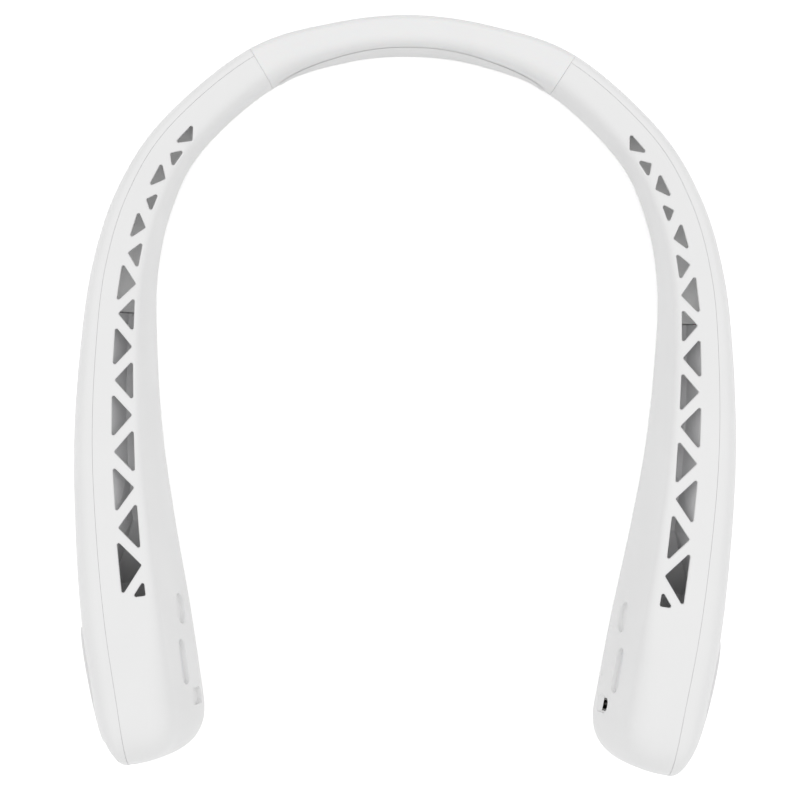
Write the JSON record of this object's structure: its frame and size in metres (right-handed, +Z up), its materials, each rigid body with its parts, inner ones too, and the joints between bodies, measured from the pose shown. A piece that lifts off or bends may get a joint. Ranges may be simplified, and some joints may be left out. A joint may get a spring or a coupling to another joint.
{
  "type": "electric neck fan",
  "caption": "White bladeless neck fan: a soft neckband joins two stiff arms with zigzag rows of triangular outlets and a centrifugal fan in each head.",
  "frame": {"origin": "on the surface the fan lies on, under the middle of its bounding box", "axes": "+Z up through the outlets, +Y from the heads to the neckband, +X to the right arm"},
  "size_m": [0.1892, 0.2178, 0.0561],
  "materials": {
    "shell": "satin moulded plastic with a fine even texture",
    "cover": "smooth satin moulded plastic",
    "sleeve": "soft matt silicone",
    "pad": "soft matt silicone",
    "housing": "plain moulded plastic",
    "liner": "plain moulded plastic",
    "rotor": "plain moulded plastic",
    "button": "smooth satin plastic",
    "window": "translucent smoke-white light window",
    "steel": "bare steel",
    "port_steel": "drawn steel with a dull plating",
    "magnet": "dark bonded ferrite",
    "bronze": "sintered bronze",
    "winding": "enamelled copper wire on steel poles",
    "circuit_board": "green solder mask on glass fibre board",
    "cell_wrap": "shrink-wrapped lithium cell",
    "dark_plastic": "dark moulded plastic",
    "wire": "red silicone insulation"
  },
  "bodies": {
    "neckband": {"neckband_sleeve": "sleeve", "neck_pad": "pad", "core_strip": "steel", "band_wires": "wire"},
    "right_arm": {"right_inner_shell": "shell", "right_outer_shell": "shell", "right_intake_cover": "cover", "right_fan_housing": "housing", "right_inlet_plate": "housing", "right_motor_bush": "bronze", "right_stator": "winding", "right_motor_board": "circuit_board", "right_front_liner": "liner", "right_duct_liner": "liner", "right_lithium_cell": "cell_wrap", "right_control_board": "circuit_board", "right_tact_switch": "dark_plastic", "right_indicator_window": "window", "right_core_clamp": "dark_plastic", "right_clamp_screws": "steel", "right_housing_screws": "steel", "right_arm_wires": "wire", "charging_port": "port_steel"},
    "right_rotor": {"right_impeller": "rotor", "right_magnet_cup": "steel", "right_ring_magnet": "magnet", "right_motor_shaft": "steel"},
    "right_button": {"right_push_button": "button", "right_switch_plunger": "dark_plastic"},
    "left_arm": {"left_inner_shell": "shell", "left_outer_shell": "shell", "left_intake_cover": "cover", "left_fan_housing": "housing", "left_inlet_plate": "housing", "left_motor_bush": "bronze", "left_stator": "winding", "left_motor_board": "circuit_board", "left_front_liner": "liner", "left_duct_liner": "liner", "left_lithium_cell": "cell_wrap", "left_control_board": "circuit_board", "left_tact_switch": "dark_plastic", "left_indicator_window": "window", "left_core_clamp": "dark_plastic", "left_clamp_screws": "steel", "left_housing_screws": "steel", "left_arm_wires": "wire"},
    "left_rotor": {"left_impeller": "rotor", "left_magnet_cup": "steel", "left_ring_magnet": "magnet", "left_motor_shaft": "steel"},
    "left_button": {"left_push_button": "button", "left_switch_plunger": "dark_plastic"}
  },
  "joints": [
    {"name": "right_arm_flex", "type": "hinge", "parent": "neckband", "child": "right_arm", "pos_m": [0.032, 0.0975, 0.012], "axis": [0, 0, 1], "range_deg": [-6, 16], "stiffness_Nm_per_rad": 0.9, "deforming": ["neckband_sleeve", "neck_pad", "core_strip", "band_wires"]},
    {"name": "right_fan_spin", "type": "hinge", "parent": "right_arm", "child": "right_rotor", "pos_m": [0.07324, -0.08328, 0.028], "axis": [0.9764, -0.2161, 0], "continuous": true},
    {"name": "right_button_press", "type": "slide", "parent": "right_arm", "child": "right_button", "axis": [0.9851, -0.1722, 0], "range_m": [0, 0.0005], "stiffness_N_per_m": 400},
    {"name": "left_arm_flex", "type": "hinge", "parent": "neckband", "child": "left_arm", "pos_m": [-0.032, 0.0975, 0.012], "axis": [0, 0, -1], "range_deg": [-6, 16], "stiffness_Nm_per_rad": 0.9, "deforming": ["neckband_sleeve", "neck_pad", "core_strip", "band_wires"]},
    {"name": "left_fan_spin", "type": "hinge", "parent": "left_arm", "child": "left_rotor", "pos_m": [-0.07324, -0.08328, 0.028], "axis": [-0.9764, -0.2161, 0], "continuous": true},
    {"name": "left_button_press", "type": "slide", "parent": "left_arm", "child": "left_button", "axis": [-0.9851, -0.1722, 0], "range_m": [0, 0.0005], "stiffness_N_per_m": 400}
  ]
}
